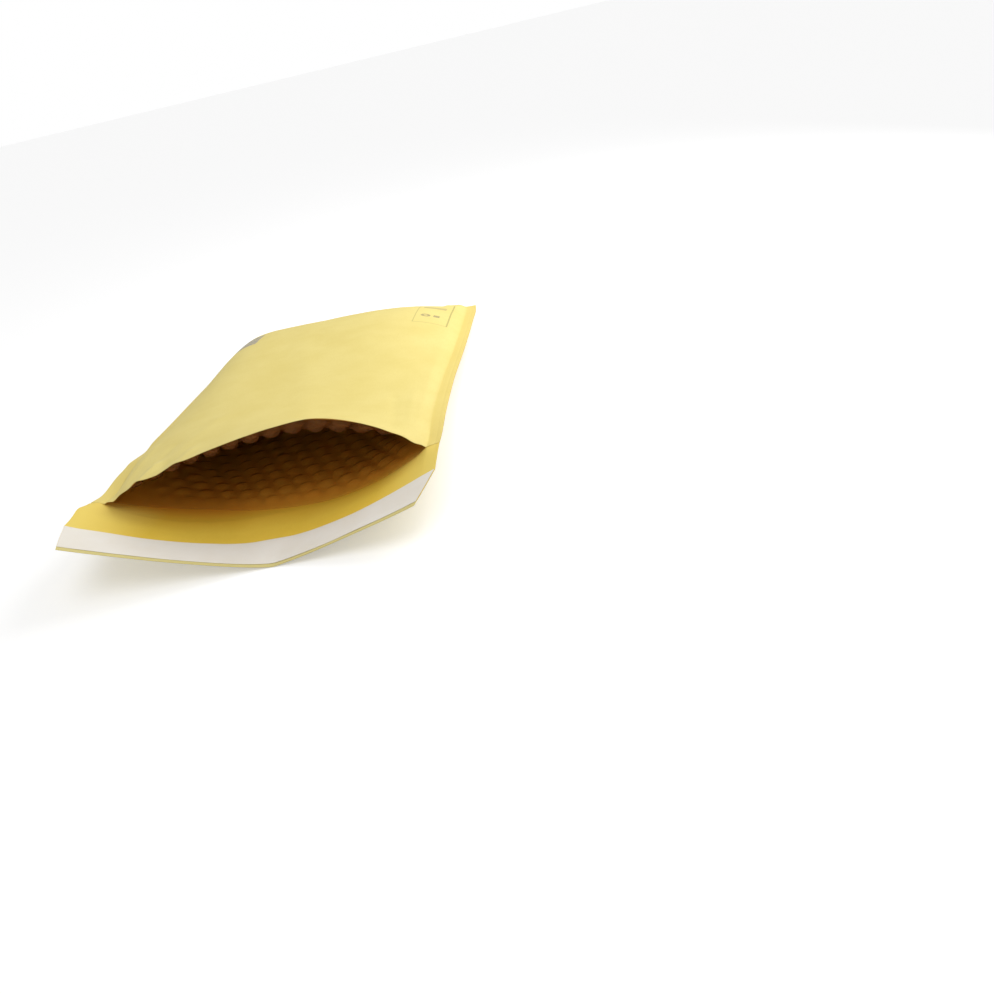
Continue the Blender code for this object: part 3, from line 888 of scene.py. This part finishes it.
def paper_bump(nodes, place, fibres):
    """Fine grain and fibres in the paper's surface."""
    rough = nodes.bump(nodes.noise(place, GRAIN_SCALE), GRAIN_DEPTH)
    return nodes.bump(fibres, FIBRE_DEPTH, before=rough)


def kraft_outer():
    nodes = Nodes("kraft_outer")
    place = nodes.flat()
    colour, fibres = paper_ground(nodes, place, KRAFT_PALE, KRAFT_DEEP, KRAFT_FLECK)
    across, _ = nodes.split(place)
    colour = nodes.mix(nodes.spread(nodes.from_middle(across), *SEAM_BAND), colour, KRAFT_BAND)
    lines, marks, patch = printed(nodes, place)
    colour = nodes.mix(lines, colour, LINE_INK)
    colour = nodes.mix(marks, colour, MARK_INK)
    colour = nodes.mix(patch, colour, PATCH_INK)
    return nodes.surface(colour, paper_bump(nodes, place, fibres), roughness=0.62)


def counted_from(start, passage):
    """A passage of colour moved on by the place that it is counted from."""
    low, high, share = passage
    return start + low, start + high, share


def kraft_inner():
    nodes = Nodes("kraft_inner")
    place = nodes.flat()
    colour, fibres = paper_ground(nodes, place, INNER_PALE, INNER_DEEP, INNER_FLECK)
    across, along = nodes.split(place)
    from_middle = nodes.from_middle(across)
    mouth = 1000 * FLAP_LENGTH
    # Painted shade: a darker orange on the flap just in front of the mouth, under the lip
    colour = nodes.mix(nodes.spread(along, *counted_from(mouth, LIP_SHADE_PASSAGE)), colour, PAINTED_LIP_SHADE)
    # Painted light: the inner face paler towards the sides
    colour = nodes.mix(nodes.spread(from_middle, *PALER_SIDES_PASSAGE), colour, SIDES_PAINTED_PALER)
    # Inside the pocket the inner face gets painted shade, with a painted orange glow towards the sides
    pocket = nodes.mix(nodes.spread(from_middle, *GLOW_TOWARDS_SIDES), POCKET_PAINTED_SHADE, POCKET_PAINTED_GLOW)
    colour = nodes.mix(nodes.spread(along, *counted_from(mouth, POCKET_LIGHT_FROM_MOUTH)), colour, pocket)
    colour = nodes.mix(nodes.spread(along, *BORDER), colour, KRAFT_BORDER)
    return nodes.surface(colour, paper_bump(nodes, place, fibres), roughness=0.7)


def flat_along(y):
    """Flat coordinate in millimetres of a place on the upper sheet at distance y from the lip."""
    return 1000 * (2 * FOLD_START + FOLD_HALF_ROUND - y + FLAP_LENGTH)


def printed(nodes, place):
    """The plain print: frame lines, then a ring, a square and two bars, and a field of small squares."""
    across, along = nodes.split(place)
    middle = 1000 * HALF_WIDTH

    def rectangle(x0, x1, y0, y1):
        low = (middle + x0, flat_along(y1 / 1000))
        high = (middle + x1, flat_along(y0 / 1000))
        return nodes.box(across, along, low, high)

    def small_squares(value):
        part = nodes.maths("FRACT", nodes.maths("DIVIDE", value, SQUARE_PITCH))
        return nodes.maths("COMPARE", part, 0.5, SQUARE_HALF_SHARE)

    dx = nodes.maths("SUBTRACT", across, middle + RING_PLACE[0])
    dy = nodes.maths("SUBTRACT", along, flat_along(RING_PLACE[1] / 1000))
    squared = nodes.maths("ADD", nodes.maths("POWER", dx, 2.0), nodes.maths("POWER", dy, 2.0))
    ring = nodes.maths("COMPARE", nodes.maths("SQRT", squared), RING_RADIUS, RING_HALF_WIDTH)
    lines = nodes.sum_up([(rectangle(*box), strength) for *box, strength in FRAME_LINES])
    rectangles = [(rectangle(*box), strength) for *box, strength in FRAME_MARKS]
    marks = nodes.sum_up([(ring, RING_STRENGTH)] + rectangles)
    squares = nodes.maths("MULTIPLY", small_squares(across), small_squares(along))
    patch = nodes.maths("MULTIPLY", rectangle(*PATCH_PLACE), squares)
    return lines, marks, nodes.maths("MULTIPLY", patch, PATCH_STRENGTH)


def film_material():
    nodes = Nodes("bubble_film")
    nodes.shader.inputs["Alpha"].default_value = 0.22
    nodes.shader.inputs["Specular IOR Level"].default_value = 0.35
    place = nodes.flat()
    _, along = nodes.split(place)
    # Painted shade: the upper ply, under the upper sheet, is darker than the lower ply
    on_top = nodes.spread(along, *counted_from(1000 * FILM_REACH, UPPER_SHADE_FROM_TURN))
    colour = nodes.mix(on_top, FILM_LOWER, UPPER_PLY_PAINTED_SHADE)
    wrinkles = nodes.noise(place, WRINKLE_SCALE, detail=4.0)
    return nodes.surface(colour, nodes.bump(wrinkles, WRINKLE_DEPTH), roughness=0.18)


def liner_material():
    nodes = Nodes("release_liner")
    place = nodes.flat()
    clouds = nodes.spread(nodes.noise(place, LINER_CLOUD_SCALE), *CLOUD_RANGE)
    colour = nodes.mix(clouds, LINER_DEEP, LINER_PALE)
    grain = nodes.bump(nodes.noise(place, LINER_GRAIN_SCALE), GRAIN_DEPTH)
    return nodes.surface(colour, grain, roughness=0.42)


def adhesive_material():
    nodes = Nodes("adhesive")
    clouds = nodes.noise(nodes.flat(), ADHESIVE_SCALE)
    colour = nodes.mix(clouds, ADHESIVE_DEEP, ADHESIVE_PALE)
    return nodes.surface(colour, nodes.bump(clouds, ADHESIVE_DEPTH), roughness=0.3)


# Studio
def camera_place():
    """Camera axes and place from its angles and the pixel and depth of the mouth line's middle."""
    a, e, r = CAMERA_AZIMUTH, CAMERA_ELEVATION, CAMERA_ROLL
    back = Vector((math.sin(a) * math.cos(e), -math.cos(a) * math.cos(e), math.sin(e)))
    level = (-back).cross(Vector((0, 0, 1))).normalized()
    upright = level.cross(-back)
    right = math.cos(r) * level + math.sin(r) * upright
    down = -(-math.sin(r) * level + math.cos(r) * upright)
    centre = FRAME_PIXELS / 2
    across = (MOUTH_PIXEL[0] - centre) / FOCAL_PIXELS
    drop = (MOUTH_PIXEL[1] - centre) / FOCAL_PIXELS
    ray = (-back + across * right + drop * down) * MOUTH_DEPTH
    place = Vector((0, MOUTH_Y, 0)) - ray
    turn = Matrix((right, -down, back)).transposed().to_4x4()
    return Matrix.Translation(place) @ turn


def add_camera():
    data = bpy.data.cameras.new("camera")
    data.sensor_width = SENSOR_MM
    data.lens = SENSOR_MM * FOCAL_PIXELS / FRAME_PIXELS
    data.clip_start = CLIP_START
    camera = add_object("camera", data)
    camera.matrix_world = camera_place()
    bpy.context.scene.camera = camera


def aimed(towards):
    """Turn of a lamp whose light comes from there."""
    return Vector(towards).to_track_quat("Z", "Y").to_euler()


def add_sun():
    """A soft distant light from overhead."""
    data = bpy.data.lights.new("overhead", "SUN")
    data.angle = math.radians(SUN_SOFTNESS)
    data.energy = SUN_STRENGTH
    add_object("overhead", data).rotation_euler = aimed(SUN_TOWARDS)


def add_lamp():
    """A soft round lamp that faces the mailer."""
    data = bpy.data.lights.new("key", "AREA")
    data.shape = "DISK"
    data.size = LAMP_SIZE
    data.energy = LAMP_POWER
    lamp = add_object("key", data)
    lamp.location = LAMP_PLACE
    lamp.rotation_euler = aimed(LAMP_PLACE)
    lamp.visible_camera = False


def add_floor():
    """A pale floor that looks white to the camera and keeps the shadow."""
    mesh = bpy.data.meshes.new("floor")
    bm = bmesh.new()
    bmesh.ops.create_grid(bm, x_segments=2, y_segments=2, size=FLOOR_REACH)
    bm.to_mesh(mesh)
    bm.free()
    floor = add_object("floor", mesh)
    nodes = Nodes("floor")
    nodes.shader.inputs["Base Color"].default_value = FLOOR_COLOUR
    nodes.shader.inputs["Roughness"].default_value = 0.9
    nodes.shader.inputs["Emission Color"].default_value = WHITE
    seen = nodes.new("ShaderNodeLightPath")
    rays = nodes.maths("MAXIMUM", seen.outputs["Is Camera Ray"], seen.outputs["Is Glossy Ray"])
    rays = nodes.maths("MAXIMUM", rays, seen.outputs["Is Transmission Ray"])
    glow = nodes.maths("MULTIPLY", rays, FLOOR_SEEN_GLOW)
    nodes.put(nodes.shader.inputs["Emission Strength"], glow)
    mesh.materials.append(nodes.material)


def add_world():
    """Even light all round, and a white background for the camera."""
    world = bpy.data.worlds.new("studio")
    bpy.context.scene.world = world
    world.use_nodes = True
    tree = world.node_tree
    background = tree.nodes["Background"]
    background.inputs["Color"].default_value = WHITE
    seen = tree.nodes.new("ShaderNodeLightPath")
    level = tree.nodes.new("ShaderNodeMapRange")
    level.inputs["To Min"].default_value = WORLD_LIGHT
    level.inputs["To Max"].default_value = WORLD_SEEN
    tree.links.new(seen.outputs["Is Camera Ray"], level.inputs["Value"])
    tree.links.new(level.outputs[0], background.inputs["Strength"])


def main():
    bpy.context.scene.view_settings.view_transform = "Standard"
    sheet = kraft_sheet([kraft_outer(), kraft_inner()])
    film = bubble_film(film_material())
    adhesive = flap_strip("adhesive_band", ADHESIVE_WIDTH, ADHESIVE_THICKNESS, BAND_GAP,
                          ADHESIVE_SIDE_INSET, adhesive_material(), ADHESIVE_WAVES)
    liner = flap_strip("liner_strip", LINER_WIDTH, LINER_THICKNESS, 2 * BAND_GAP + ADHESIVE_THICKNESS,
                       LINER_SIDE_INSET, liner_material(), LINER_WAVES)
    pieces = (
        (sheet, "kraft_envelope", "kraft_paper"),
        (film, "bubble_lining", "bubble_film"),
        (adhesive, "adhesive_strip", "adhesive"),
        (liner, "release_liner", "liner_paper"),
    )
    for piece, node, slot in pieces:
        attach(piece, "root")
        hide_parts(node)
    add_floor()
    add_world()
    add_sun()
    add_lamp()
    add_camera()


main()
